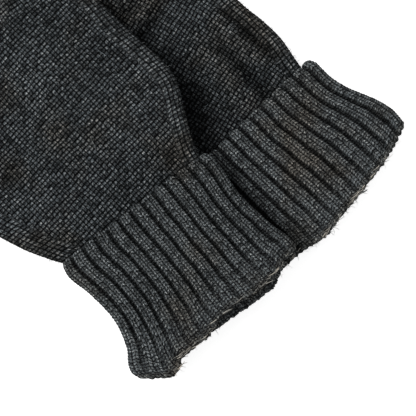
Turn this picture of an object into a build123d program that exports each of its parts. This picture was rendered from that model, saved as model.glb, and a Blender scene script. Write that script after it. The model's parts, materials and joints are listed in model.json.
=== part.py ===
from build123d import *
import math
import os

# A pair of knitted gloves lying one partly on the other. Both have the same plan: the right
# glove lies palm down underneath, the left glove lies palm up on top of it, so both thumbs
# point the same way. Millimetres, +Z up. The origin is on the underside of the right glove,
# at the middle of its palm, and +Y runs along that glove from the cuff to the fingertips.
# Each glove is drawn in its own frame: x across, y from the fold of the cuff to the fingers.

# fabric
hand_wall = 2.0          # plain knit of the hand and fingers
rib_wall = 2.2           # two by two rib of the wrist and the cuff
clearance = 0.3          # between layers and bodies that only lie against each other

# cuff and wrist
cuff_width = 92.0        # flat width across the turned cuff
cuff_depth = 64.0        # fold to the cast-on edge
edge_depth = 3.0         # cast-on edge itself
rib_beyond = 3.0         # how far the inner layer shows below the cast-on edge
fold_radius = 3.0        # roll of the fabric at the fold
mouth_height = 5.0       # the space left open in the flat wrist

# hand
hand_length = 108.0      # fold to the roots of the fingers
wrist_left = 44.0        # half widths of the palm at the fold
wrist_right = 38.0
palm_left = 49.0         # half widths where the palm is widest
palm_right = 50.0
palm_height_y = 46.0     # distance of the widest place from the fold
knuckle_left = 48.0      # outer side of the first finger
edge_roundness = 0.42    # radius of the rounded sides as a share of the height

# fingers: width and length of each tube, first finger to little finger
finger_widths = {"index": 23.0, "middle": 23.0, "ring": 22.0, "little": 20.0}
finger_lengths = {"index": 72.0, "middle": 80.0, "ring": 74.0, "little": 58.0}
finger_gap = 1.0         # between two fingers at their roots
finger_taper = 0.88      # width at the tip as a share of the width at the root
full_share = 1 / 3       # share of a finger's length over which it keeps its full width
digit_drop = 2.0         # fingers lie this much flatter than the hand

# thumb
thumb_width = 27.0
thumb_length = 60.0
thumb_angle = 26.0       # degrees between the thumb and the hand
fork_y = 66.0            # where the thumb parts from the palm
thumb_gap = 1.0          # between the thumb and the palm at the fork
gusset_left = 47.0       # outer side of the thumb gusset at the fold
gusset_bow = 2.0         # how far the gusset's outer side bows out, halfway up

# how the pair lies
palm_middle_y = 54.0     # origin to the fold, along the right glove
left_across = -65.2      # fold of the left glove, seen from the fold of the right one
left_along = 6.1
left_turn = -7.0         # degrees, anticlockwise from above

# worked out from the sizes above
cavity_width = cuff_width - 2 * rib_wall
rib_width = cavity_width - 2 * clearance
mouth_width = rib_width - 2 * rib_wall
rib_height = mouth_height + 2 * rib_wall
cavity_height = rib_height + 2 * clearance
glove_height = cavity_height + 2 * rib_wall
digit_height = glove_height - digit_drop
knuckle_width = sum(finger_widths.values()) + finger_gap * (len(finger_widths) - 1)
knuckle_right = knuckle_width - knuckle_left
fork_x = -palm_left - thumb_gap
thumb_turn = math.radians(thumb_angle)
root_across = (math.cos(thumb_turn), math.sin(thumb_turn))


def glove_frame(across, along, height, turn):
    """Frame of one glove: origin at the fold of its cuff, on its underside."""
    x_dir = (math.cos(math.radians(turn)), math.sin(math.radians(turn)), 0)
    return Plane(origin=(across, along - palm_middle_y, height), x_dir=x_dir, z_dir=(0, 0, 1))


def cross_section(base, y, height):
    """Plane across the glove at y, its origin at half of the given height."""
    origin = base.from_local_coords(Vector(0, y, height / 2))
    return Plane(origin=origin, x_dir=base.x_dir, z_dir=base.y_dir)


def along_thumb(distance, side):
    """Point beside the thumb's axis, from the root line outwards."""
    middle = thumb_width / 2
    x = fork_x - root_across[0] * (middle - side) - root_across[1] * distance
    y = fork_y - root_across[1] * (middle - side) + root_across[0] * distance
    return (x, y)


def tube(plane, outer, inner, length):
    """Flattened tube of fabric, closed all round and open at both ends."""
    with BuildPart() as sleeve:
        with BuildSketch(plane):
            SlotOverall(outer[0], outer[1])
            SlotOverall(inner[0], inner[1], mode=Mode.SUBTRACT)
        extrude(amount=length)
    return sleeve.part


def round_sides(block, radius):
    """Rounds the long curved sides of a flat block, above and below."""
    faces = block.faces().sort_by(Axis.Z)
    sides = faces[0].edges() + faces[-1].edges()
    fillet(sides.filter_by(GeomType.LINE, reverse=True), radius)


def palm_block(base, inset):
    """Solid of the palm, drawn in from its outside by the inset."""
    height = glove_height - 2 * inset
    with BuildPart() as block:
        with BuildSketch(base.offset(inset)):
            with BuildLine():
                outer = Spline(
                    (wrist_right - inset, inset),
                    (palm_right - inset, palm_height_y),
                    (knuckle_right - inset, hand_length - inset),
                )
                inner = Spline(
                    (inset - wrist_left, inset),
                    (inset - palm_left, palm_height_y),
                    (inset - knuckle_left, hand_length - inset),
                )
                Line(outer @ 0, inner @ 0)
                Line(outer @ 1, inner @ 1)
            make_face()
        extrude(amount=height)
        round_sides(block, edge_roundness * glove_height - inset)
    return block.part


def gusset_block(base, inset):
    """Solid of the thumb gusset: the flare from the wrist to the root of the thumb."""
    height = glove_height - 2 * inset
    outside = along_thumb(-inset, inset - thumb_width / 2)
    inside = along_thumb(-inset, thumb_width)
    fold_point = (inset - gusset_left, inset)
    bow = (
        (outside[0] + fold_point[0]) / 2 - gusset_bow,
        (outside[1] + fold_point[1]) / 2,
    )
    with BuildPart() as block:
        with BuildSketch(base.offset(inset)):
            with BuildLine():
                flare = Spline(fold_point, bow, outside)
                Polyline(flare @ 1, inside, (inside[0], inset), flare @ 0)
            make_face()
        extrude(amount=height)
        round_sides(block, edge_roundness * glove_height - inset)
    return block.part


def digit_block(root, width, length, inset):
    """Solid of one finger with a round tip, drawn in from its outside by the inset."""
    height = digit_height - 2 * inset
    start = -inset
    half_root = width / 2 - inset
    half_tip = width / 2 * finger_taper - inset
    tip_start = length - width / 2 * finger_taper
    full = length * full_share
    with BuildPart() as block:
        with BuildSketch(root.offset(inset)):
            with BuildLine():
                right = Spline((half_root, start), (half_root, full), (half_tip, tip_start))
                tip = ThreePointArc(right @ 1, (0, length - inset), (-half_tip, tip_start))
                left = Spline(tip @ 1, (-half_root, full), (-half_root, start))
                Line(left @ 1, right @ 0)
            make_face()
        extrude(amount=height)
        round_sides(block, edge_roundness * digit_height - inset)
    return block.part


def digit_roots(base):
    """Frame and width of each digit, at the middle of its root and on its underside."""
    roots = {}
    x = -knuckle_left
    for name, width in finger_widths.items():
        middle = Vector(x + width / 2, hand_length + clearance, 0)
        roots[name] = (Plane(base.from_local_coords(middle), base.x_dir, base.z_dir), width)
        x += width + finger_gap
    thumb_middle = base.from_local_coords(Vector(*along_thumb(clearance, 0), 0))
    thumb_x = base.x_dir.rotate(Axis.Z, thumb_angle)
    roots["thumb"] = (Plane(thumb_middle, thumb_x, base.z_dir), thumb_width)
    return roots


def root_section(root):
    """Plane across a digit at its root."""
    return cross_section(root, 0, digit_height)


def hand_shell(base):
    """Hand of one glove, open at the wrist, at the thumb and at the four fingers."""
    with BuildPart() as hand:
        add(palm_block(base, 0))
        add(gusset_block(base, 0))
        add(palm_block(base, hand_wall), mode=Mode.SUBTRACT)
        add(gusset_block(base, hand_wall), mode=Mode.SUBTRACT)
        with BuildSketch(cross_section(base, 0, glove_height)):
            with Locations(((wrist_right - wrist_left) / 2, 0)):
                SlotOverall(wrist_left + wrist_right - 2 * hand_wall, mouth_height)
        extrude(amount=2 * hand_wall, mode=Mode.SUBTRACT)
        for root, width in digit_roots(base).values():
            with BuildSketch(root_section(root)):
                SlotOverall(width - 2 * hand_wall, digit_height - 2 * hand_wall)
            extrude(amount=-(2 * hand_wall + clearance), mode=Mode.SUBTRACT)
    return hand.part


def digit_shell(root, width, length):
    """One finger or thumb: a closed tip and an open root."""
    with BuildPart() as digit:
        add(digit_block(root, width, length, 0))
        add(digit_block(root, width, length, hand_wall), mode=Mode.SUBTRACT)
    return digit.part


def turned_cuff(base):
    """Outer layer of the cuff, with the fold that closes it to the inner layer."""
    with BuildPart() as cuff:
        with BuildSketch(cross_section(base, -cuff_depth, glove_height)):
            SlotOverall(cuff_width, glove_height)
        extrude(amount=cuff_depth)
        fillet(cuff.faces().sort_by(Axis(base.origin, base.y_dir))[-1].edges(), fold_radius)
        with BuildSketch(cross_section(base, -cuff_depth, glove_height)):
            SlotOverall(cavity_width, cavity_height)
        extrude(amount=cuff_depth - rib_wall, mode=Mode.SUBTRACT)
        with BuildSketch(cross_section(base, -rib_wall, glove_height)):
            SlotOverall(mouth_width, mouth_height)
        extrude(amount=rib_wall, mode=Mode.SUBTRACT)
    return cuff.part


def wrist_rib(base):
    """Inner layer of the wrist, from below the cast-on edge up to the fold."""
    start = cuff_depth + edge_depth + rib_beyond
    plane = cross_section(base, -start, glove_height)
    return tube(plane, (rib_width, rib_height), (mouth_width, mouth_height), start - rib_wall)


def cast_on_edge(base):
    """Cast-on edge that finishes the open end of the turned cuff."""
    plane = cross_section(base, -cuff_depth - edge_depth, glove_height)
    outer = (cuff_width, glove_height)
    return tube(plane, outer, (cavity_width, cavity_height), edge_depth)


def glove_pieces(base):
    """All pieces of one glove by name."""
    pieces = {
        "hand": hand_shell(base),
        "wrist_rib": wrist_rib(base),
        "cuff": turned_cuff(base),
        "cast_on_edge": cast_on_edge(base),
    }
    lengths = {**finger_lengths, "thumb": thumb_length}
    for name, (root, width) in digit_roots(base).items():
        pieces[name] = digit_shell(root, width, lengths[name])
    return pieces


right_frame = glove_frame(0, 0, 0, 0)
left_frame = glove_frame(left_across, left_along, glove_height + clearance, left_turn)

os.makedirs("parts", exist_ok=True)
for side, frame in {"right": right_frame, "left": left_frame}.items():
    for name, piece in glove_pieces(frame).items():
        piece.label = side + "_" + name
        export_step(piece, "parts/" + piece.label + ".step")

# Places of the joints, for whoever joins the pieces: middle of each digit's root
for side, frame in {"right": right_frame, "left": left_frame}.items():
    for name, (root, width) in digit_roots(frame).items():
        print(side, name, "root", [round(v, 3) for v in root.origin], "width", width)
print("glove height", glove_height, "digit height", digit_height)
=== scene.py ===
import json
import math
import random
import bpy
import numpy as np
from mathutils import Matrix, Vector


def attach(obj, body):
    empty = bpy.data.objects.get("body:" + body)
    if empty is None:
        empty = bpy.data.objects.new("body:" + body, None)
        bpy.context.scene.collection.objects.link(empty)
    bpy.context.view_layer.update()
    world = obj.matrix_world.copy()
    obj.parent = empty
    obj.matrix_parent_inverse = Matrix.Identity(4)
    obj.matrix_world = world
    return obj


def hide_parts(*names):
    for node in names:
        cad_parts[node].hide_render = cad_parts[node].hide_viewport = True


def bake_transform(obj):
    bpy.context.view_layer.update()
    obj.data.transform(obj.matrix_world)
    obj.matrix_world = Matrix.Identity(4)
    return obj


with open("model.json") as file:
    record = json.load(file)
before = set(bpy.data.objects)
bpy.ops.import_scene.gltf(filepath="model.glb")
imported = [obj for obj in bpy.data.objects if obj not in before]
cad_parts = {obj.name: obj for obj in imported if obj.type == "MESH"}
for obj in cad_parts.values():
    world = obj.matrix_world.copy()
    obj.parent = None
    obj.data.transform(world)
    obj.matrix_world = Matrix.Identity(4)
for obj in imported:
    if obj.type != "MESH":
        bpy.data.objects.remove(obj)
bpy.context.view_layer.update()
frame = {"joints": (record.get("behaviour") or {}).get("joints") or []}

# A pair of knitted gloves, one lying partly on the other. Shapes are worked out in millimetres
# in each glove's own frame: x across, y from the fold of the cuff to the fingers, z up.

mm = 0.001
joints = {joint["name"]: joint for joint in frame["joints"]}

yarn = {
    "walePitch": 1.94,      # plain knit, stitch to stitch across
    "coursePitch": 1.92,    # plain knit, row to row
    "stitchRise": 0.62,     # how far a stitch of plain knit stands up
    "ribCount": 26,         # ribs round a cuff
    "ribCourse": 1.6,       # row to row in the rib
    "ribRise": 2.0,         # ridge over groove
    "legRise": 0.5,         # each leg of a stitch on a ridge
    "turn": {"left": 9.6, "right": 12.0},    # degrees that the hand's knit lies turned from its cuff's
    "edgePitch": 2.25,      # stitch to stitch in the wales along the edges
    "edgeWales": {"left": 6, "right": 5},    # wales that follow the thumb side and the other side
}

digits = {    # width and length
    "index": (23.0, 72.0),
    "middle": (23.0, 80.0),
    "ring": (22.0, 74.0),
    "little": (20.0, 58.0),
    "thumb": (27.0, 60.0),
}
hand = {
    "rootLine": 108.3,      # fold of the cuff to the roots of the fingers
    "knuckleLeft": 48.0,
    "fingerGap": 1.0,
    "digitTop": 12.4,       # height of the finger joints over the glove's underside
    "thumbRoot": (-62.265, 60.352),
    "thumbAngle": 26.0,
    "halfHeight": 5.5,      # half the thickness of the lying glove, and the height of its middle
    "middleHeight": 5.9,
    "wristHeight": 0.78,    # share of that height left at the wrist
    "tipLoss": 0.1,         # share of it lost towards the fingertips
    "edgeRound": 9.0,       # how far in the rounded sides reach
    "edgePower": 2.1,
    "web": 4.5,             # how far the fingers stay joined beyond their roots
    "rootTaper": 0.05,      # share of a finger's width lost near its root, and on to its tip
    "tipTaper": 0.09,
    "tipLength": 0.84,      # length and half width of a round fingertip, as shares of half the width
    "tipWidth": 0.86,
    "seed": {"left": 11, "right": 12},
    "gentleRise": 0.5,      # soft unevenness all over, and from hill to hill
    "gentleReach": 46,
}


def fingerPlaces():
    places = {}
    x = -hand["knuckleLeft"]
    for name in ("index", "middle", "ring", "little"):
        width = digits[name][0]
        places[name] = (x + width / 2, hand["rootLine"])
        x += width + hand["fingerGap"]
    places["thumb"] = hand["thumbRoot"]
    return places


places = fingerPlaces()


def gloveFrame(side):
    # where a glove lies, read from the joint of its ring finger
    joint = joints[side + "_ring_bend"]
    across = np.array(joint["axis"][:2])
    across = across / np.linalg.norm(across)
    along = np.array([-across[1], across[0]])
    root = np.array(joint["pos_m"]) * 1000
    x, y = places["ring"]
    origin = root[:2] - across * x - along * y
    return {"origin": origin, "across": across, "along": along, "floor": root[2] - hand["digitTop"]}


frames = {side: gloveFrame(side) for side in ("right", "left")}


def toRow(side, points):
    # from a glove's own frame to the frame of the pair
    f = frames[side]
    flat = f["origin"] + points[:, :1] * f["across"] + points[:, 1:2] * f["along"]
    return np.column_stack([flat, points[:, 2] + f["floor"]])


def ownPlace(side, points):
    # x and y in a glove's own frame of points of the pair
    away = points[:, :2] - frames[side]["origin"]
    return away @ frames[side]["across"], away @ frames[side]["along"]


def smoothStep(t):
    t = np.clip(t, 0, 1)
    return t * t * (3 - 2 * t)


def smoothLine(points, step=1.6):
    # a smooth line through the points
    p = np.array(points, float)
    p = np.vstack([2 * p[0] - p[1], p, 2 * p[-1] - p[-2]])
    line = []
    for i in range(1, len(p) - 2):
        count = max(2, int(np.linalg.norm(p[i + 1] - p[i]) / step))
        t = np.linspace(0, 1, count, endpoint=False)[:, None]
        bend = 2 * p[i - 1] - 5 * p[i] + 4 * p[i + 1] - p[i + 2]
        twist = 3 * p[i] - p[i - 1] - 3 * p[i + 1] + p[i + 2]
        line.append(p[i] + 0.5 * ((p[i + 1] - p[i - 1]) * t + bend * t**2 + twist * t**3))
    line.append(p[-2:-1])
    return np.vstack(line)


def softField(x, y, seed, reach, waves=7):
    # gentle hills and valleys about one reach apart, from -1 to 1
    draw = random.Random(seed)
    total = np.zeros_like(x)
    for _ in range(waves):
        angle = draw.uniform(0, math.tau)
        size = reach * draw.uniform(0.7, 1.6)
        phase = draw.uniform(0, math.tau)
        total += np.sin((x * math.cos(angle) + y * math.sin(angle)) * math.tau / size + phase)
    return total / waves**0.5 / 1.3


def stitchShare(u, v, seed):
    # a number from 0 to 1 that is one stitch's own
    n = np.sin(np.floor(u + 0.5) * 127.1 + np.floor(v + 0.5) * 311.7 + seed * 17.3) * 43758.5453
    return n - np.floor(n)


outlines = {    # x and y of the sides of each glove as it lies
    "left": {
        "rightSide": [(36.5, -32), (36.5, -8), (36.8, 0), (37.8, 7), (43.3, 21.4), (49.6, 36),
                      (50.5, 48), (48.1, 61.7), (45.2, 78.7), (43.8, 92.3), (43, 108.3)],
        "leftSide": [(-43, -32), (-43.5, -10), (-46.2, -1), (-50.5, 5), (-57.6, 16.5), (-63.9, 29.6),
                     (-69.8, 42), (-74.4, 54.4)],
    },
    "right": {
        "rightSide": [(37.5, -32), (37.8, -8), (38.6, 1), (41.5, 18), (41.2, 31.3), (40, 43.7),
                      (40.3, 62), (42, 85), (43, 108.3)],
        "leftSide": [(-43, -32), (-43.5, -10), (-46, -1), (-50.2, 6), (-57, 17), (-63.4, 30),
                     (-69.6, 42), (-74.4, 54.4)],
    },
}
fork = (-50.1, 66.3)    # where the thumb parts from the palm
palmSide = [fork, (-49.6, 76), (-48.6, 92), (-48, 108.3)]


def digitFrame(name):
    # middle of the root, and the directions across and along
    angle = math.radians(hand["thumbAngle"]) if name == "thumb" else 0
    across = np.array([math.cos(angle), math.sin(angle)])
    along = np.array([-math.sin(angle), math.cos(angle)])
    return np.array(places[name]), across, along


def digitRows(name, step=0.62):
    # distance from the root and half width of each row, out to the tip
    width, length = digits[name]
    tip = width / 2 * hand["tipLength"]
    straight = np.arange(0, length - tip, step)
    t = straight / (length - tip)
    narrowing = hand["rootTaper"] * smoothStep(t * 3) + hand["tipTaper"] * smoothStep((t - 0.3) / 0.7)
    half = width / 2 * (1 - narrowing)
    turn = np.linspace(0, math.pi / 2, 22)
    rows = np.concatenate([straight, length - tip + tip * np.sin(turn)])
    return rows, np.concatenate([half, width / 2 * hand["tipWidth"] * np.cos(turn)])


def digitOutline(name):
    # from the right side of the root, round the tip, to the left side
    root, across, along = digitFrame(name)
    r, half = digitRows(name, 3.0)
    r, half = np.insert(r, 1, hand["web"]), np.insert(half, 1, half[0])
    right = root + half[:, None] * across + r[:, None] * along
    left = root - half[:, None] * across + r[:, None] * along
    if name in ("middle", "ring", "little"):
        left = left[r >= hand["web"]]
    if name in ("middle", "ring", "index"):
        right = right[r >= hand["web"]]
    return np.vstack([right, left[::-1]])


def gloveOutline(side):
    # once round the glove, from the right side of its wrist to the left
    shape = outlines[side]
    runs = [smoothLine(shape["rightSide"])]
    runs += [digitOutline(name) for name in ("little", "ring", "middle", "index")]
    runs += [smoothLine(palmSide)[::-1], digitOutline("thumb"), smoothLine(shape["leftSide"])[::-1]]
    return np.vstack(runs)


def depthInside(points, line):
    # how far each point lies inside the outline
    a, b = line[:-1].astype(np.float32), line[1:].astype(np.float32)
    run = b - a
    long = np.maximum((run**2).sum(1), 1e-9)
    depth = np.empty(len(points), np.float32)
    for i in range(0, len(points), 6000):
        p = points[i:i + 6000, None, :].astype(np.float32) - a
        t = np.clip((p * run).sum(2) / long, 0, 1)
        depth[i:i + 6000] = np.sqrt(((p - t[:, :, None] * run)**2).sum(2).min(1))
    return depth


folds = {    # broad wrinkles: middle x and y, turn in degrees, length, width, rise
    "left": [(8, 30, 20, 60, 26, 0.7), (-40, 26, -35, 46, 20, 0.8)],
    "right": [(-13, 19, 63, 60, 20, -3.2), (17.5, 15, 90, 42, 8, -2.8), (25, 28, 92, 52, 8, 1.7),
              (32.5, 28, 90, 50, 6.5, -2.8), (8, 24, 84, 42, 12, 1.4), (-3, 66, 8, 30, 5, -1.9),
              (0, 73, 8, 30, 5, 1.3), (2, 80, 10, 34, 5, -1.6), (4, 57, 15, 28, 6, 1.3)],
}


def gloveHeight(y, depth):
    # half the thickness of the glove at a point
    low = hand["wristHeight"]
    top = hand["halfHeight"] * (1 - hand["tipLoss"] * smoothStep((y - 90) / 60))
    top = top * (low + (1 - low) * smoothStep((y + 4) / 26))
    t = np.clip(depth / hand["edgeRound"], 0, 1)
    return top * (1 - (1 - t)**hand["edgePower"])**(1 / hand["edgePower"])


def wrinkles(side, x, y, depth):
    # how much the top stands up or sinks at a point
    rise = hand["gentleRise"] * softField(x, y, hand["seed"][side], hand["gentleReach"])
    for middleX, middleY, turn, length, width, height in folds[side]:
        c, s = math.cos(math.radians(turn)), math.sin(math.radians(turn))
        u = ((x - middleX) * c + (y - middleY) * s) / length
        v = (-(x - middleX) * s + (y - middleY) * c) / width
        rise += height * np.exp(-4 * u**2 - 4 * v**2)
    return rise * smoothStep(depth / 8)


shade = {
    "hollow": 0.26, "hill": 0.2,            # light lost or won by a millimetre of wrinkle
    "least": 0.25, "most": 1.5,
    "rightSideLight": 0.32,                      # painted light on the stretched wales along the right edge
    "fold": 0.45, "foldReach": 2.2,         # light lost beside the fold of the cuff
    "beside": 0.55, "besideReach": 4.0,     # light lost by the lower glove beside the upper one
    "cuffMore": 0.15, "cuffReach": 1.2,     # and how much more beside its cuff
    "cuffSide": [(47.5, -80), (47, -60), (43, -42), (41.6, -25), (42.4, -3), (39, 1)],
}


def placeLight(side, points, depth):
    # less light in the bottoms of the wrinkles and beside the fold of the cuff
    rise = wrinkles(side, points[:, 0], points[:, 1], depth)
    light = 1 + shade["hollow"] * np.minimum(rise, 0) + shade["hill"] * np.maximum(rise, 0)
    light = np.clip(light, shade["least"], shade["most"])
    light *= 1 - shade["fold"] * np.exp(-np.clip(points[:, 1] - 1, 0, None) / shade["foldReach"])
    return light * shadeBesideUpper(side, points)


def shadeBesideUpper(side, points):
    # painted shade on the lower glove close beside the upper one
    if side == "left":
        return np.ones(len(points))
    x, y = ownPlace("left", toRow("right", points))
    edges = np.vstack([shade["cuffSide"], outlines["left"]["rightSide"][3:]])
    away = np.abs(x - np.interp(y, edges[:, 1], edges[:, 0]) - 1)
    cuff = smoothStep(-y / 20)
    reach = shade["besideReach"] + shade["cuffReach"] * cuff
    return 1 - (shade["beside"] + shade["cuffMore"] * cuff) * np.exp(-(away / reach)**1.5)


drape = {
    "rest": 2.3,        # how far the upper glove sinks where it lies on the lower one
    "hang": 6.5,        # and how much more beside it, over what width
    "reach": 34,
    "cuffEdge": -46,    # left side of the lower glove: x beside its cuff, y and x beside its hand
    "lowerEdge": [(0, -47), (54, -74), (66, -52), (108, -48)],
}


def drop(side, points):
    # where the upper glove hangs beyond the lower one it sinks towards the floor
    if side == "right":
        return np.zeros(len(points))
    x, y = ownPlace("right", toRow(side, points))
    line = np.array(drape["lowerEdge"], float)
    edge = np.where(y < 0, drape["cuffEdge"], np.interp(y, line[:, 0], line[:, 1]))
    return drape["rest"] + drape["hang"] * smoothStep((edge - x) / drape["reach"])


def plainStitch(u, v):
    # one bump per stitch, notched between its two legs, with dark holes between stitches
    a = u - np.floor(u) - 0.5
    share = stitchShare(u - 0.5, v, 1)
    b = v - np.floor(v + 0.5)
    bump = np.clip(1 - np.abs(a / 0.52)**2.2, 0, 1) * np.clip(1 - np.abs(b / 0.5)**2.2, 0, 1)
    return bump * (1 - 0.3 * np.exp(-(a / 0.12)**2)), share


def ribStitch(phase, v):
    # ridges of two wales, each of two legs, with a groove between ridges
    q = phase - np.floor(phase) - 0.5
    ridge = smoothStep((0.5 - np.abs(q)) / 0.17)
    crown = 1 - 1.9 * q**2
    leg = (q + 0.4) / 0.2
    legNumber = np.floor(leg)
    inLeg = leg - legNumber - 0.5
    lean = np.where(legNumber % 2 == 0, 1, -1)
    along = v + 0.5 * lean * inLeg
    share = stitchShare(legNumber + np.floor(phase) * 7, along, 2)
    b = along - np.floor(along + 0.5)
    fine = np.clip(1 - np.abs(inLeg / 0.54)**2.2, 0, 1) * np.clip(1 - np.abs(b / 0.54)**2.2, 0, 1)
    fine = fine**0.75 * (1 - 0.45 * np.exp(-(q / 0.035)**2)) * smoothStep((0.5 - np.abs(q)) / 0.12)
    return ridge * crown, fine, share


def keepValues(mesh, label, values):
    values = values.astype(np.float32)
    mesh.attributes.new(label, "FLOAT", "POINT").data.foreach_set("value", values)


def knitGrid(name, place, wale, course, wander=0.14):
    # a knitted tube from a grid: place, wale and course go row by row, and the last column
    # closes on the first
    rows, columns = wale.shape
    sway = wander * softField(wale, course, 5, 7)
    wale, course = wale + sway, course + 0.7 * sway
    bpy.ops.object.select_all(action="DESELECT")
    bpy.ops.mesh.primitive_grid_add(x_subdivisions=columns - 1, y_subdivisions=rows - 1, size=1)
    piece = bpy.context.object
    piece.name = piece.data.name = name
    mesh = piece.data
    co = np.empty(rows * columns * 3)
    mesh.vertices.foreach_get("co", co)
    co = co.reshape(-1, 3)
    column = np.rint((co[:, 0] + 0.5) * (columns - 1)).astype(int)
    row = np.rint((co[:, 1] + 0.5) * (rows - 1)).astype(int)
    mesh.vertices.foreach_set("co", place[row, column].ravel())
    wales, courses = wale[row, column], course[row, column]
    keepValues(mesh, "wale", wales)
    keepValues(mesh, "course", courses)
    corner = np.empty(len(mesh.loops), np.int32)
    mesh.loops.foreach_get("vertex_index", corner)
    uv = mesh.uv_layers[0] if mesh.uv_layers else mesh.uv_layers.new(name="UVMap")
    uv.name = "knit"
    knit = np.column_stack([wales[corner], courses[corner]])
    uv.data.foreach_set("uv", knit.astype(np.float32).ravel())
    bpy.ops.object.mode_set(mode="EDIT")
    bpy.ops.mesh.select_all(action="SELECT")
    bpy.ops.mesh.remove_doubles(threshold=0.004)
    bpy.ops.mesh.normals_make_consistent(inside=False)
    bpy.ops.object.mode_set(mode="OBJECT")
    bpy.ops.object.shade_smooth()
    return piece


def readPoints(piece, label=None):
    mesh = piece.data
    if label:
        values = np.empty(len(mesh.vertices), np.float32)
        mesh.attributes[label].data.foreach_get("value", values)
        return values.astype(float)
    co = np.empty(len(mesh.vertices) * 3)
    mesh.vertices.foreach_get("co", co)
    return co.reshape(-1, 3)


def readNormals(piece):
    normals = np.empty(len(piece.data.vertices) * 3, np.float32)
    piece.data.vertex_normals.foreach_get("vector", normals)
    return normals.reshape(-1, 3).astype(float)


def finishKnit(piece, side, points, light, strand=None):
    # drape, into the row frame, in metres; the light that reaches a place is kept for the material
    points = points.copy()
    points[:, 2] -= drop(side, points)
    piece.data.vertices.foreach_set("co", (toRow(side, points) * mm).ravel())
    keepValues(piece.data, "light", light)
    keepValues(piece.data, "strand", np.zeros(len(points)) if strand is None else strand)
    for label in ("wale", "course"):
        piece.data.attributes.remove(piece.data.attributes[label])
    piece.data.update()
    return piece


fibreSet = {
    "edgeCount": 90, "edgeLength": (1.2, 4.5), "edgeRadius": (0.06, 0.13),
    "lineCount": 46, "lineLength": (2.5, 6.0), "lineRadius": (0.12, 0.24),
    "strayCount": 16, "strayLength": (3, 8), "strayRadius": (0.05, 0.1),
    "fuzzCount": 70, "fuzzLength": (0.9, 2.2), "fuzzRadius": (0.05, 0.09),
    "looseEnd": {"x": 14.7, "length": 5.5, "radius": 0.42},    # of the cast-on yarn, right glove
    "edgeSeed": {"left": 41, "right": 42},
    "straySeed": {"left": 51, "right": 52},
    "edgeLight": 1.2, "lineLight": 2.0, "lineWarmth": 3.5, "strayLight": 2.2, "fuzzLight": 1.5,
}
fibreSteps = 7    # rings along one fibre


def fibreRows(start, heading, climb, curl, length, radius):
    # rings along one thin curved fibre, closed to a point at both ends
    t = np.linspace(0, 1, fibreSteps)
    turn = heading + curl * t
    run = np.column_stack([np.sin(turn), -np.cos(turn), np.full(fibreSteps, climb)])
    run = run * length / (fibreSteps - 1)
    middle = np.array(start) + np.vstack([[0, 0, 0], np.cumsum(run[:-1], axis=0)])
    thick = radius * np.sqrt(np.clip(1 - t**2, 0, 1)) * (t > 0)
    angle = np.linspace(0, math.tau, 5)[None, :, None]
    beside = np.column_stack([np.cos(turn), np.sin(turn), np.zeros(fibreSteps)])
    ring = np.cos(angle) * beside[:, None] + np.sin(angle) * np.array([0, 0, 1.0])
    return middle[:, None] + thick[:, None, None] * ring


def makeFibres(side, name, fibres, light, warmth=0.0):
    # all fibres of one kind in one mesh; the bare links between them are dropped
    place = np.vstack([fibreRows(*fibre) for fibre in fibres])
    rows, columns = place.shape[:2]
    # each fibre takes its tone from the crown of a stitch of its own
    wale = np.tile(0.6 + 0.004 * np.arange(columns), (rows, 1))
    number = np.arange(rows) * len(fibres) // rows
    course = np.repeat((number + 0.01 * (np.arange(rows) % fibreSteps))[:, None], columns, 1)
    piece = knitGrid(name, place, wale, course, 0)
    bpy.ops.object.mode_set(mode="EDIT")
    bpy.ops.mesh.select_all(action="SELECT")
    bpy.ops.mesh.delete_loose(use_verts=True, use_edges=True, use_faces=False)
    bpy.ops.object.mode_set(mode="OBJECT")
    points = readPoints(piece)
    lights, warmths = np.full(len(points), light), np.full(len(points), warmth)
    return finishKnit(piece, side, points, lights, warmths)


def addFibres(piece, side, fibres):
    # the fibres become part of the piece
    bpy.ops.object.select_all(action="DESELECT")
    for fibre in fibres:
        fibre.select_set(True)
    piece.select_set(True)
    bpy.context.view_layer.objects.active = piece
    bpy.ops.object.join()
    return piece


def edgeFibres(side):
    # loose fibres round the cast-on edge, one loose end of its yarn, and a line of warmer fibres along it,
    # made pale by painted light
    draw = random.Random(fibreSet["edgeSeed"][side])
    end = smoothLine(cuffs[side]["freeEdge"])
    middle = cuffShape["middle"]
    fibres = []
    for _ in range(fibreSet["edgeCount"]):
        x = draw.uniform(-43, 43)
        y = np.interp(x, end[:, 0], end[:, 1]) + draw.uniform(0.2, 2.0)
        start = (x, y, middle + draw.uniform(1.5, 5.4))
        heading, climb, curl = draw.uniform(-1.5, 1.5), draw.uniform(-0.25, 0.35), draw.uniform(-1.8, 1.8)
        length, radius = draw.uniform(*fibreSet["edgeLength"]), draw.uniform(*fibreSet["edgeRadius"])
        fibres.append((start, heading, climb, curl, length, radius))
    if side == "right":
        yarnEnd = fibreSet["looseEnd"]
        y = np.interp(yarnEnd["x"], end[:, 0], end[:, 1]) + 1.5
        start = (yarnEnd["x"], y, middle + 3)
        fibres.append((start, 0.5, -0.2, 1.4, yarnEnd["length"], yarnEnd["radius"]))
    line = []
    for _ in range(fibreSet["lineCount"]):
        x = draw.uniform(-36, 44)
        y = np.interp(x, end[:, 0], end[:, 1]) + draw.uniform(0.4, 1.3)
        start = (x, y, middle + draw.uniform(6.1, 6.9))
        heading = math.pi / 2 * draw.choice((-1, 1)) + draw.uniform(-0.3, 0.3)
        climb, curl = draw.uniform(-0.1, 0.05), draw.uniform(-0.5, 0.5)
        length, radius = draw.uniform(*fibreSet["lineLength"]), draw.uniform(*fibreSet["lineRadius"])
        line.append((start, heading, climb, curl, length, radius))
    return [makeFibres(side, side + "EdgeFibres", fibres, fibreSet["edgeLight"]),
            makeFibres(side, side + "EdgeLine", line, fibreSet["lineLight"], fibreSet["lineWarmth"])]


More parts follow.
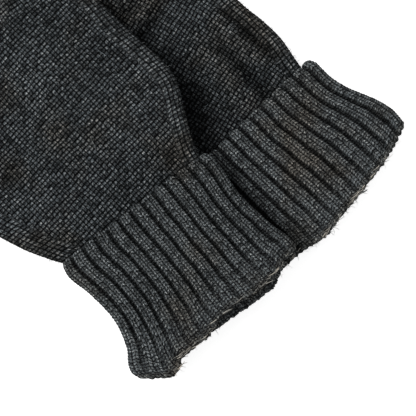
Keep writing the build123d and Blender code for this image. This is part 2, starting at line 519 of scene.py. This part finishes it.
def edgeClustered(width, count):
    # places across a width, closer together where the fabric turns over the edges, and the way
    # walked to each over the fabric
    r = hand["edgeRound"]
    quarter = 11.0    # length of the fabric over one rounded side
    total = width - 2 * r + 2 * quarter
    walked = np.linspace(0, total, count)
    fromRight = total - walked
    leftSide = r * (1 - np.cos(np.clip(walked / quarter, 0, 1) * math.pi / 2))
    rightSide = width - r * (1 - np.cos(np.clip(fromRight / quarter, 0, 1) * math.pi / 2))
    place = np.where(walked < quarter, leftSide, walked - quarter + r)
    return np.where(fromRight < quarter, rightSide, place), walked, total


def liftFaces(side, flat, half, depth):
    # top and underside, marked 1 and -1, go to their heights; the underside wrinkles less
    rise = wrinkles(side, flat[:, 0], flat[:, 1], depth)
    flat[:, 2] = hand["middleHeight"] + flat[:, 2] * half + np.where(flat[:, 2] > 0, rise, 0.3 * rise)


def raiseStitches(piece, u, v):
    bump, share = plainStitch(u, v)
    return readNormals(piece) * (yarn["stitchRise"] * ((0.8 + 0.4 * share) * bump - 0.5))[:, None]


def makeHand(side):
    shape = outlines[side]
    outline = gloveOutline(side)
    rightLine = smoothLine(shape["rightSide"])
    leftLine = np.vstack([smoothLine(shape["leftSide"]), [fork], smoothLine(palmSide)[1:]])
    endRows = hand["rootLine"] + np.array([0, 0.6, 2, 3.2, 4.2])
    ys = np.append(np.arange(-14, hand["rootLine"], 0.52), endRows)
    above, below = 232, 116    # columns over the top and under it
    angle = math.radians(yarn["turn"][side])
    pitch, rowPitch = yarn["walePitch"], yarn["coursePitch"]
    place, wale, course = [], [], []
    for y in ys:
        xRight = np.interp(y, rightLine[:, 1], rightLine[:, 0])
        xLeft = np.interp(y, leftLine[:, 1], leftLine[:, 0])
        rowPlace, rowWale, rowCourse = [], [], []
        for count, face in ((above, 1), (below, -1)):
            across, arc, total = edgeClustered(xRight - xLeft, count)
            x = xLeft + across
            w = (x * math.cos(angle) + y * math.sin(angle)) / pitch
            c = (y * math.cos(angle) - x * math.sin(angle)) / rowPitch
            for fromEdge, edge in ((total - arc, "right"), (arc, "left")):
                beside = fromEdge < yarn["edgeWales"][edge] * yarn["edgePitch"]
                w = np.where(beside, -fromEdge / yarn["edgePitch"], w)
                c = np.where(beside, y / rowPitch, c)
            points = np.column_stack([x, np.full(count, y), np.full(count, float(face))])
            if face < 0:
                points, w, c = points[::-1], -w[::-1], c[::-1]
            rowPlace.append(points)
            rowWale.append(w)
            rowCourse.append(c)
        rowPlace.append(rowPlace[0][:1])
        rowWale.append(rowWale[1][-1:])
        rowCourse.append(rowCourse[1][-1:])
        place.append(np.vstack(rowPlace))
        wale.append(np.concatenate(rowWale))
        course.append(np.concatenate(rowCourse))
    place, wale, course = np.array(place), np.array(wale), np.array(course)
    flat = place.reshape(-1, 3)
    depth = depthInside(flat[:, :2], outline)
    depth[depth < 0.03] = 0
    half = gloveHeight(flat[:, 1], depth)
    half = half - 0.7 * smoothStep((flat[:, 1] - hand["rootLine"]) / 1.2)    # tucked into the fingers
    liftFaces(side, flat, half, depth)
    piece = knitGrid(side + "_hand", flat.reshape(place.shape), wale, course)
    points, u, v = readPoints(piece), readPoints(piece, "wale"), readPoints(piece, "course")
    depth = depthInside(points[:, :2], outline)
    lit = placeLight(side, points, depth)
    rightX = np.interp(points[:, 1], rightLine[:, 1], rightLine[:, 0])
    strand = smoothStep((10.5 - (rightX - points[:, 0])) / 2.5) * (points[:, 2] > hand["middleHeight"] - 2)
    # painted light on the wales along the right side
    lit *= 1 + shade["rightSideLight"] * strand
    points += raiseStitches(piece, u, v)
    finishKnit(piece, side, points, lit, strand)
    return addFibres(piece, side, strayFibres(side, outline))


def strayFibres(side, outline):
    # a few hairs lying on the hand and a fuzz of short ones along its sides
    draw = random.Random(fibreSet["straySeed"][side])
    middle = hand["middleHeight"]
    stray, fuzz = [], []
    for _ in range(fibreSet["strayCount"]):
        x, y = draw.uniform(-52, 36), draw.uniform(4, 100)
        spot = np.array([[x, y]])
        depth = depthInside(spot, outline)
        if depth[0] < 5 or y > 50 and x < -44:
            continue
        top = middle + (gloveHeight(spot[:, 1], depth) + wrinkles(side, spot[:, 0], spot[:, 1], depth))[0]
        heading, curl = draw.uniform(0, math.tau), draw.uniform(-3.5, 3.5)
        length, radius = draw.uniform(*fibreSet["strayLength"]), draw.uniform(*fibreSet["strayRadius"])
        stray.append(((x, y, top + 0.45), heading, 0.0, curl, length, radius))
    for line, out in (("leftSide", -1), ("rightSide", 1)):
        edge = smoothLine(outlines[side][line])
        for _ in range(fibreSet["fuzzCount"]):
            y = draw.uniform(2, edge[-1, 1])
            x = np.interp(y, edge[:, 1], edge[:, 0]) - out * 0.5
            start = (x, y, middle + draw.uniform(-1, 2))
            heading = out * draw.uniform(0.5, 2.6)
            climb, curl = draw.uniform(-0.3, 0.3), draw.uniform(-1.5, 1.5)
            length, radius = draw.uniform(*fibreSet["fuzzLength"]), draw.uniform(*fibreSet["fuzzRadius"])
            fuzz.append((start, heading, climb, curl, length, radius))
    return [makeFibres(side, side + "StrayFibres", stray, fibreSet["strayLight"]),
            makeFibres(side, side + "Fuzz", fuzz, fibreSet["fuzzLight"])]


def makeDigit(side, name):
    outline = gloveOutline(side)
    root, across, along = digitFrame(name)
    r, half = digitRows(name)
    # two more rows are tucked into the hand
    r, half = np.concatenate([[-2.4, -1.2], r]), np.concatenate([[half[0] - 0.9, half[0] - 0.4], half])
    above, below = 52, 40
    place, wale, course = [], [], []
    for distance, halfWidth in zip(r, half):
        rowPlace, rowWale = [], []
        for count, face in ((above, 1), (below, -1)):
            s = np.linspace(-1, 1, count)
            a = np.sin(s * math.pi / 2) * 0.55 + s * 0.45
            flat = root + (a * halfWidth)[:, None] * across + distance * along
            halfWales = (halfWidth + 2.2) / yarn["walePitch"]
            w = s * halfWales
            points = np.column_stack([flat, np.full(count, float(face))])
            if face < 0:
                points, w = points[::-1], 2 * halfWales - w[::-1]
            rowPlace.append(points)
            rowWale.append(w)
        rowPlace.append(rowPlace[0][:1])
        rowWale.append(rowWale[1][-1:])
        place.append(np.vstack(rowPlace))
        wale.append(np.concatenate(rowWale))
        course.append(np.full(len(wale[-1]), (hand["rootLine"] + distance) / yarn["coursePitch"]))
    place, wale, course = np.array(place), np.array(wale), np.array(course)
    flat = place.reshape(-1, 3)
    depth = depthInside(flat[:, :2], outline)
    depth[depth < 0.03] = 0
    halfHeight = gloveHeight(flat[:, 1], depth)
    inside = np.repeat((r < 0)[:, None], place.shape[1], 1).ravel()
    halfHeight = np.where(inside, halfHeight - 0.5, halfHeight)
    liftFaces(side, flat, halfHeight, depth)
    piece = knitGrid(side + "_" + name, flat.reshape(place.shape), wale, course)
    points, u, v = readPoints(piece), readPoints(piece, "wale"), readPoints(piece, "course")
    points += raiseStitches(piece, u, v)
    return finishKnit(piece, side, points, np.ones(len(points)))


cuffs = {    # leftEdge and rightEdge: distance from the fold and x; freeEdge and innerEnd: x and y
    "left": {
        "ribRun": ((-47, -48), (42, 46)),    # first and last rib: x at the fold and at the free edge
        "sway": 2.2,                         # how fast the ribs leave the line of a flared side
        # painted light on the ridges of this cuff
        "lightAndTone": 0.96,
        "seed": 31,
        "leftEdge": [(-30, -45), (-3, -46.6), (0, -47), (3, -48), (8, -48.3), (20, -45.2),
                     (35, -43.6), (48, -46.5), (56, -50.4), (61, -52), (64, -51.8), (67, -50)],
        "rightEdge": [(-30, 39.5), (0, 39.8), (3, 40.5), (13, 40.7), (25, 39.9), (36, 41),
                      (50, 43.5), (60, 46), (67, 46.8)],
        "freeEdge": [(-53, -65.5), (-48, -69), (-43.8, -71.6), (-38.8, -75), (-33, -74.3), (-29, -70.9),
                     (-22, -70.6), (-14, -70.4), (-9, -69.2), (-4, -67.5), (3, -66.6), (8, -66.4),
                     (14, -67.8), (20, -68.2), (27, -67.6), (33, -66.4), (37, -63.9), (44, -62.8),
                     (49, -61.5)],
        "innerEnd": [(-45, -66), (-30, -68.4), (-20, -69.2), (-10, -70), (0, -70.4), (14, -71.2), (27, -71.1),
                     (33, -67.8), (37, -63.4), (44, -61.5), (49, -60)],
    },
    "right": {
        "ribRun": ((-46.5, -48.5), (44, 48.5)),
        "sway": 2.2,
        # painted light on the ridges of this cuff
        "lightAndTone": 1.1,
        "seed": 32,
        "leftEdge": [(-30, -45), (0, -46.5), (64, -46)],
        "rightEdge": [(-30, 41.5), (0, 43.8), (3, 44.7), (12, 44.8), (21, 46.6), (34, 51.1),
                      (46.5, 53.9), (54, 54.9), (60, 55.1), (67, 54.4)],
        "freeEdge": [(-46, -64), (-31, -64), (-21.3, -64.9), (-16.5, -66.6), (-8.9, -67), (-1.7, -65.8),
                     (9.2, -64.9), (19.5, -63.4), (34.3, -61.5), (44, -58.8), (50, -56.8), (55, -55)],
        "innerEnd": [(-46, -62), (0, -63.5), (20, -61), (34, -59), (50, -54)],
    },
}
cuffShape = {
    "halfWidth": 46.0, "halfHeight": 6.0, "middle": 7.0,    # middle: height over the glove's underside
    "roundness": 3.0,       # power of the flattened section
    "roll": 1.7,            # radius of the fold
    "length": 64.0,         # fold to the cast-on edge
    "edge": 67.0,           # fold to the end of that edge
    "wall": 3.0,            # thickness of the edge
    "innerDepth": 4.2,      # how far the inner layer lies inside the outer face
    "innerRound": 0.9,      # radius of its end
    "groove": 0.55,         # light in the grooves where the ribs are flat
    "grooveLoss": 0.5,      # and how much less where they stand up
    "fade": 0.62,           # share of the ribs' height lost towards the free edge
    "uneven": 0.14,         # how much that share differs from rib to rib
    "fadeFrom": 45, "fadeOver": 20,
}


def sectionRing(count):
    # equal steps round a flattened tube, from its left edge over the top
    a, b, power = cuffShape["halfWidth"], cuffShape["halfHeight"], cuffShape["roundness"]
    turn = np.linspace(0, math.tau, 20001)
    c, s = -np.cos(turn), np.sin(turn)
    x = a * np.sign(c) * np.abs(c)**(2 / power)
    z = b * np.sign(s) * np.abs(s)**(2 / power)
    run = np.concatenate([[0], np.cumsum(np.hypot(np.diff(x), np.diff(z)))])
    at = np.linspace(0, run[-1], count)
    x, z = np.interp(at, run, x), np.interp(at, run, z)
    dx, dz = np.gradient(x), np.gradient(z)
    dx[0] = dx[-1] = 0
    dz[0] = dz[-1] = 1
    size = np.hypot(dx, dz)
    return x / a, z, -dz / size, dx / size


def layTube(side, profile, columns, ends="freeEdge"):
    # profile: distance from the fold and how far inside the outer face, row by row
    shape = cuffs[side]
    s, z, normalX, normalZ = sectionRing(columns)
    left = smoothLine(shape["leftEdge"])
    right = smoothLine(shape["rightEdge"])
    end = smoothLine(shape[ends])
    place = []
    for distance, inset in profile:
        xLeft = np.interp(distance, left[:, 0], left[:, 1])
        xRight = np.interp(distance, right[:, 0], right[:, 1])
        straightLeft = np.interp(distance, [0, cuffShape["edge"]], shape["ribRun"][0])
        straightRight = np.interp(distance, [0, cuffShape["edge"]], shape["ribRun"][1])
        x = (straightLeft + straightRight) / 2 + s * (straightRight - straightLeft) / 2
        x += (xLeft - straightLeft) * ((1 - s) / 2)**shape["sway"]
        x += (xRight - straightRight) * ((1 + s) / 2)**shape["sway"]
        extra = np.interp(x, end[:, 0], end[:, 1]) + cuffShape["edge"]
        y = -distance + extra * smoothStep((distance - 22) / 44)
        height = cuffShape["middle"] + z - normalZ * inset
        place.append(np.column_stack([x - normalX * inset, y, height]))
    return np.array(place)


def profileSteps(profile, step):
    # the profile in equal steps, with the length walked to each
    profile = np.array(profile)
    run = np.concatenate([[0], np.cumsum(np.hypot(np.diff(profile[:, 0]), np.diff(profile[:, 1])))])
    at = np.linspace(0, run[-1], int(run[-1] / step) + 1)
    return np.column_stack([np.interp(at, run, profile[:, 0]), np.interp(at, run, profile[:, 1])]), at


def ribFade(side, points):
    # the ribs flatten out towards the free edge, some more than others
    x, y = points[:, 0], points[:, 1]
    uneven = cuffShape["uneven"] * softField(x, 0 * x, cuffs[side]["seed"], 19)
    fade = smoothStep((-y - cuffShape["fadeFrom"]) / cuffShape["fadeOver"])
    return 1 - (cuffShape["fade"] + uneven) * fade


def makeRibTube(side, name, profile, columns, step, ends="freeEdge", ridgeShare=1.0, edge=None):
    # one tube of rib; edge, if given, reshapes its end
    steps, walked = profileSteps(profile, step)
    place = layTube(side, steps, columns, ends)
    phase = np.repeat(np.linspace(0, yarn["ribCount"], columns)[None, :], len(steps), 0)
    course = np.repeat(walked[:, None] / yarn["ribCourse"], columns, 1)
    piece = knitGrid(side + "_" + name, place, phase, course, 0.035)
    points, u, v = readPoints(piece), readPoints(piece, "wale"), readPoints(piece, "course")
    ridge, fine, share = ribStitch(u, v)
    flat = ribFade(side, points)
    rise = ridgeShare * yarn["ribRise"] * (ridge - 0.7) * flat
    rise = rise + yarn["legRise"] * fine * (0.8 + 0.4 * share)
    # painted light on the ridges and painted shade in the grooves
    groove = cuffShape["groove"] - cuffShape["grooveLoss"] * flat
    light = cuffs[side]["lightAndTone"] * ridge + (1 - ridge) * groove
    if edge:
        rise, light = edge(u, v, rise, light)
    # painted shade beside the upper glove
    light = light * shadeBesideUpper(side, points)
    points += readNormals(piece) * rise[:, None]
    points[:, 2] += 0.3 * softField(points[:, 0], points[:, 1], 21, 40)
    return finishKnit(piece, side, points, light)


def foldProfile():
    # from inside the wrist, round the fold, down the outer layer
    r = cuffShape["roll"]
    turn = np.linspace(math.pi, 0, 14)
    inside = [(12, 2 * r), (r + 1, 2 * r)]
    roll = [(r - r * math.sin(a), r * (1 - math.cos(a))) for a in turn]
    outside = [(d, 0) for d in np.linspace(r + 1, cuffShape["length"], 30)]
    return inside + roll + outside


def edgeProfile():
    # down the outer face, round the end and back up inside
    length, end, wall = cuffShape["length"], cuffShape["edge"], cuffShape["wall"]
    r = wall / 2
    roll = [(end - r + r * math.sin(a), r * (1 - math.cos(a))) for a in np.linspace(0, math.pi, 12)]
    return [(length, 0), (end - r - 0.2, 0)] + roll + [(end - r - 0.2, wall), (length - 3, wall)]


def castOn(u, v, rise, light):
    # a cord of uneven bumps, almost three to a rib, with painted shade along it and painted light on its beads
    along = u * 2.9 + 0.35 * softField(u, 0 * v, 17, 3.1)
    uneven = stitchShare(along - 0.5, 0 * v, 9)
    bead = np.abs(np.sin(along * math.pi))**0.8 * (0.2 + 1.1 * uneven**1.5)
    fade = smoothStep((v - 1.3) / 0.6)
    corded = rise * (1 - 0.8 * fade) + fade * (0.8 * bead - 0.35)
    return corded, light * (1 - 0.35 * fade) + fade * 0.4 * bead


def innerProfile():
    # the inner layer: down from the fold, round its end and a little way back up
    end, depth, r = cuffShape["edge"], cuffShape["innerDepth"], cuffShape["innerRound"]
    roll = [(end - r + r * math.sin(a), depth + r * (1 - math.cos(a))) for a in np.linspace(0, math.pi, 8)]
    return [(4, depth)] + roll + [(30, depth + 2 * r)]


def innerEdge(u, v, rise, light):
    # the end of the inner layer: flatter ribs, a row of uneven loops and painted shade under the outer layer
    fade = smoothStep((v - (cuffShape["edge"] - 9) / yarn["ribCourse"]) / 3)
    along = u * 2.7 + 0.35 * softField(u, 0 * v, 18, 2.7)
    loops = np.abs(np.sin(along * math.pi))**0.8 * (0.2 + 1.2 * stitchShare(along - 0.5, 0 * v, 8))
    return rise * (1 - 0.5 * fade) + fade * (loops - 0.2), light * (1 - 0.3 * fade)


def linear(hexColour):
    # an sRGB colour written in hex, as linear light
    channels = [int(hexColour[i:i + 2], 16) / 255 for i in (1, 3, 5)]
    return [c / 12.92 if c <= 0.04045 else ((c + 0.055) / 1.055)**2.4 for c in channels] + [1.0]


def addNode(tree, kind, settings=None, links=None):
    # one node, its settings by name or socket, and what goes into it
    node = tree.nodes.new(kind)
    for key, value in (settings or {}).items():
        if isinstance(key, int) or key in node.inputs:
            node.inputs[key].default_value = value
        else:
            setattr(node, key, value)
    for key, source in (links or {}).items():
        tree.links.new(source, node.inputs[key])
    return node


def workOut(tree, values, steps):
    # arithmetic step by step: the name of the result, the operation, then numbers or earlier names
    for name, operation, *inputs in steps:
        numbers = {i: value for i, value in enumerate(inputs) if not isinstance(value, str)}
        links = {i: values[value] for i, value in enumerate(inputs) if isinstance(value, str)}
        node = addNode(tree, "ShaderNodeMath", {"operation": operation, **numbers}, links)
        values[name] = node.outputs[0]


def hump(name, value, half):
    # steps that give 1 where the value is 0, down to 0 at the half width
    return [(name + "Share", "DIVIDE", value, half), (name + "Size", "ABSOLUTE", name + "Share"),
            (name + "Fall", "POWER", name + "Size", 2.2), (name + "Rest", "SUBTRACT", 1.0, name + "Fall"),
            (name, "MAXIMUM", name + "Rest", 0.0)]


# plain knit: one bump per stitch, notched between its two legs, and long strands where the knit
# turns over the edge; u counts wales and v counts rows
plainCells = [
    ("column", "FLOOR", "u"),
    ("inColumn", "SUBTRACT", "u", "column"),
    ("across", "SUBTRACT", "inColumn", 0.5),
    ("halfUp", "ADD", "v", 0.5),
    ("row", "FLOOR", "halfUp"),
]
plainBump = [
    ("inRow", "SUBTRACT", "v", "row"),
    ("uneven", "SUBTRACT", "share", 0.5),
    ("along", "MULTIPLY_ADD", "uneven", 0.22, "inRow"),
    *hump("length", "along", 0.5),
    ("strandLength", "MULTIPLY", "strand", 0.3),
    ("longer", "MAXIMUM", "length", "strandLength"),
    *hump("parting", "across", 0.2),
    ("partingDepth", "MULTIPLY", "parting", 0.25),
    ("notch", "SUBTRACT", 1.0, "partingDepth"),
    *hump("width", "across", 0.52),
    ("whole", "MULTIPLY", "width", "longer"),
    ("bump", "MULTIPLY", "whole", "notch"),
]

# rib: two wales to a ridge, each stitch of two leaning legs; u counts ridges
ribCells = [
    ("rib", "FLOOR", "u"),
    ("inRib", "SUBTRACT", "u", "rib"),
    ("across", "SUBTRACT", "inRib", 0.5),
    ("leg", "MULTIPLY_ADD", "across", 5.0, 2.0),
    ("number", "FLOOR", "leg"),
    ("legPlace", "SUBTRACT", "leg", "number"),
    ("inLeg", "SUBTRACT", "legPlace", 0.5),
    ("odd", "FLOORED_MODULO", "number", 2.0),
    ("lean", "MULTIPLY_ADD", "odd", -2.0, 1.0),
    ("leaning", "MULTIPLY", "lean", "inLeg"),
    ("slanted", "MULTIPLY_ADD", "leaning", 0.5, "v"),
    ("halfUp", "ADD", "slanted", 0.5),
    ("row", "FLOOR", "halfUp"),
    ("column", "MULTIPLY_ADD", "rib", 7.0, "number"),
]
ribBump = [
    ("inRow", "SUBTRACT", "slanted", "row"),
    ("uneven", "SUBTRACT", "share", 0.5),
    ("along", "MULTIPLY_ADD", "uneven", 0.3, "inRow"),
    *hump("parting", "across", 0.07),
    ("partingDepth", "MULTIPLY", "parting", 0.5),
    ("notch", "SUBTRACT", 1.0, "partingDepth"),
    *hump("width", "inLeg", 0.56),
    *hump("length", "along", 0.54),
    ("whole", "MULTIPLY", "width", "length"),
    ("bump", "MULTIPLY", "whole", "notch"),
]


wool = {
    "patches": 38.0,        # per metre: brownish patches about 26 mm across
    "patchWarmth": 0.65,
    "strandWarmth": 0.12,   # of the strands along the edges
    "warmTint": "#f0d8c0",
    "fibres": 2600.0,       # per metre: a fuzz of fibres about 0.4 mm apart
    "reliefStrength": 0.6,
    "reliefDepth": 0.0004,
    "roughness": 0.95,
    "specular": 0.04,
}


def knittedWool(name, look):
    # spun wool in a marl of charcoal and pale fibres: matt, with painted shade in the holes between stitches
    # and painted light on their crowns
    material = bpy.data.materials.new(name)
    material.use_nodes = True
    tree = material.node_tree
    shader = tree.nodes["Principled BSDF"]
    knit = addNode(tree, "ShaderNodeUVMap", {"uv_map": "knit"}).outputs["UV"]
    axes = addNode(tree, "ShaderNodeSeparateXYZ", {}, {"Vector": knit})
    values = {"u": axes.outputs["X"], "v": axes.outputs["Y"]}
    for label in ("light", "strand"):
        values[label] = addNode(tree, "ShaderNodeAttribute", {"attribute_name": label}).outputs["Fac"]
    workOut(tree, values, look["cells"])
    cell = addNode(tree, "ShaderNodeCombineXYZ", {}, {"X": values["column"], "Y": values["row"]})
    own = addNode(tree, "ShaderNodeTexWhiteNoise", {"noise_dimensions": "2D"}, {"Vector": cell.outputs[0]})
    values["share"] = own.outputs["Value"]    # from 0 to 1, one stitch's own
    workOut(tree, values, look["bump"])
    # painted light on the crown of each stitch and painted shade in its holes, with each stitch's own tone,
    # times the painted light and shade of the place
    workOut(tree, values, [
        ("own", "MULTIPLY_ADD", "share", look["spread"], 1.0 - look["spread"] / 2),
        ("crown", "POWER", "bump", look["power"]),
        ("lightAndTone", "MULTIPLY_ADD", "crown", "own", look["gap"]),
        ("depth", "MULTIPLY", "lightAndTone", "light"),
    ])
    flecks = addNode(tree, "ShaderNodeMapping", {"Scale": look["fleck"]}, {"Vector": knit})
    marl = addNode(tree, "ShaderNodeTexNoise", {"Scale": 1.0, "Detail": 3.0, "Roughness": 0.7},
                   {"Vector": flecks.outputs["Vector"]})
    colour = addNode(tree, "ShaderNodeValToRGB", {}, {"Fac": marl.outputs["Fac"]})
    stops, marlColours = colour.color_ramp.elements, look["marl"]
    for stop, (spot, hexColour) in zip(stops, (marlColours[0], marlColours[-1])):
        stop.position, stop.color = spot, linear(hexColour)
    for spot, hexColour in marlColours[1:-1]:
        stops.new(spot).color = linear(hexColour)
    place = addNode(tree, "ShaderNodeTexCoord").outputs["Object"]
    patches = addNode(tree, "ShaderNodeTexNoise", {"Scale": wool["patches"], "Detail": 2.0}, {"Vector": place})
    fibre = addNode(tree, "ShaderNodeTexNoise", {"Scale": wool["fibres"], "Detail": 2.0}, {"Vector": place})
    reach = {"From Min": 0.5, "From Max": 0.72, "To Max": wool["patchWarmth"]}
    amount = addNode(tree, "ShaderNodeMapRange", reach, {"Value": patches.outputs["Fac"]})
    values["patches"], values["fibre"] = amount.outputs["Result"], fibre.outputs["Fac"]
    workOut(tree, values, [
        ("strandWarmth", "MULTIPLY", "strand", wool["strandWarmth"]),
        ("warmth", "MAXIMUM", "patches", "strandWarmth"),
        ("height", "MULTIPLY_ADD", "fibre", 0.5, "bump"),
    ])
    warm = addNode(tree, "ShaderNodeMix", {"data_type": "RGBA", "blend_type": "MULTIPLY"},
                   {0: values["warmth"], 6: colour.outputs["Color"]})
    warm.inputs[7].default_value = linear(wool["warmTint"])
    final = addNode(tree, "ShaderNodeVectorMath", {"operation": "SCALE"},
                    {0: warm.outputs[2], "Scale": values["depth"]})
    bump = {"Strength": wool["reliefStrength"], "Distance": wool["reliefDepth"]}
    relief = addNode(tree, "ShaderNodeBump", bump, {"Height": values["height"]})
    tree.links.new(final.outputs["Vector"], shader.inputs["Base Color"])
    tree.links.new(relief.outputs["Normal"], shader.inputs["Normal"])
    shader.inputs["Roughness"].default_value = wool["roughness"]
    shader.inputs["Specular IOR Level"].default_value = wool["specular"]
    return material


# power: how round a stitch looks by its painted shade; spread: how much stitches differ; gap: painted light
# left in the holes;
# fleck: flecks of the marl to a wale or ridge, and to a row
looks = {
    "plain": {"cells": plainCells, "bump": plainBump, "power": 1.8, "spread": 1.2, "gap": 0.01,
              "fleck": (2.6, 2.3, 1),
              "marl": [(0.33, "#1b1f21"), (0.46, "#42484b"), (0.56, "#6c7276"), (0.69, "#bcbdba")]},
    "rib": {"cells": ribCells, "bump": ribBump, "power": 1.2, "spread": 1.2, "gap": 0.02,
            "fleck": (14.0, 2.8, 1),
            "marl": [(0.34, "#1c2022"), (0.46, "#454b4e"), (0.56, "#727779"), (0.68, "#c2c3bf")]},
    "edge": {"cells": ribCells, "bump": ribBump, "power": 1.1, "spread": 1.1, "gap": 0.02,
             "fleck": (14.0, 2.8, 1),
             "marl": [(0.34, "#1e2122"), (0.46, "#474b4d"), (0.56, "#747674"), (0.68, "#c4c2ba")]},
}
plainKnit = knittedWool("plainKnitWool", looks["plain"])
ribKnit = knittedWool("ribKnitWool", looks["rib"])
castOnYarn = knittedWool("castOnWool", looks["edge"])

for side in ("right", "left"):
    body = side + "_glove"
    parts = [(makeHand(side), "hand", plainKnit, "plain_knit")]
    print("made", side, "hand", len(parts[0][0].data.polygons), flush=True)
    parts.append((makeRibTube(side, "cuff", foldProfile(), 417, 0.5), "cuff", ribKnit, "rib_knit"))
    edging = makeRibTube(side, "cast_on_edge", edgeProfile(), 417, 0.45, edge=castOn)
    addFibres(edging, side, edgeFibres(side))
    parts.append((edging, "cast_on_edge", castOnYarn, "cast_on_yarn"))
    inner = makeRibTube(side, "wrist_rib", innerProfile(), 313, 0.8, "innerEnd", 0.7, edge=innerEdge)
    parts.append((inner, "wrist_rib", ribKnit, "rib_knit"))
    for piece, node, material, slot in parts:
        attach(piece, body)
    for name in digits:
        piece = makeDigit(side, name)
        parts.append((piece, name, plainKnit, "plain_knit"))
        root, across, along = digitFrame(name)
        if side == "right" and name == "middle":
            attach(piece, body)
        else:
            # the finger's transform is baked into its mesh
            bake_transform(piece)
    for piece, node, material, slot in parts:
        piece.data.materials.clear()
        piece.data.materials.append(material)
        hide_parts(side + "_" + node)
    print("made", side, "glove", flush=True)


# floor, light and camera
stageSet = {
    "middle": (-42.8, -71.3, 8),    # what the camera looks at
    "turn": -44.4,
    "elevation": 84.0,
    "across": 202.2,                # width that the camera takes in
    "distance": 900.0,
    "floorColour": "#fafafa",
    "floorGlow": 0.7,               # of the floor, for the camera and reflections only
    "roomStrength": 0.34,
    "lamps": {                      # place and size in metres, power in watts
        "windowLight": ((-0.45, 0.62, 0.78), 0.8, 12),
        "roomLight": ((0.45, -0.5, 1.5), 1.2, 3),
    },
}

bpy.ops.object.select_all(action="DESELECT")
bpy.ops.mesh.primitive_plane_add(size=6, location=(0, 0, 0))
floor = bpy.context.object
floor.name = "floor"
paper = bpy.data.materials.new("whitePaper")   # plain matt paper
paper.use_nodes = True
tree = paper.node_tree
shader = tree.nodes["Principled BSDF"]
shader.inputs["Base Color"].default_value = linear(stageSet["floorColour"])
shader.inputs["Roughness"].default_value = 0.9
shader.inputs["Emission Color"].default_value = (1, 1, 1, 1)
ray = addNode(tree, "ShaderNodeLightPath").outputs
rays = {"camera": ray["Is Camera Ray"], "glossy": ray["Is Glossy Ray"], "through": ray["Is Transmission Ray"]}
workOut(tree, rays, [
    ("mirrored", "MAXIMUM", "glossy", "through"),
    ("seen", "MAXIMUM", "camera", "mirrored"),
    ("glow", "MULTIPLY", "seen", stageSet["floorGlow"]),
])
tree.links.new(rays["glow"], shader.inputs["Emission Strength"])
floor.data.materials.append(paper)

world = bpy.data.worlds.new("softRoom")
bpy.context.scene.world = world
world.use_nodes = True
room = world.node_tree.nodes["Background"]
room.inputs["Color"].default_value = (1, 1, 1, 1)
room.inputs["Strength"].default_value = stageSet["roomStrength"]


def addLamp(name, place, size, power):
    # a soft lamp that looks at the gloves
    bpy.ops.object.light_add(type="AREA", location=place)
    lamp = bpy.context.object
    lamp.name = name
    lamp.data.size = size
    lamp.data.energy = power
    aim = Vector((stageSet["middle"][0] * mm, stageSet["middle"][1] * mm, 0)) - Vector(place)
    lamp.rotation_euler = aim.to_track_quat("-Z", "Y").to_euler()


for name, (place, size, power) in stageSet["lamps"].items():
    addLamp(name, place, size, power)

turn = math.radians(stageSet["turn"])
tilt = math.radians(stageSet["elevation"])
up = Vector((-math.sin(turn), math.cos(turn), 0))
middle = Vector(stageSet["middle"]) * mm
view = Vector((-up.x * math.cos(tilt), -up.y * math.cos(tilt), math.sin(tilt)))
bpy.ops.object.camera_add(location=middle + view * stageSet["distance"] * mm)
camera = bpy.context.object
camera.rotation_euler = view.to_track_quat("Z", "Y").to_euler()
camera.data.lens = camera.data.sensor_width * stageSet["distance"] / stageSet["across"]
bpy.context.scene.camera = camera
bpy.context.scene.view_settings.view_transform = "Standard"
print("made floor, light and camera", flush=True)
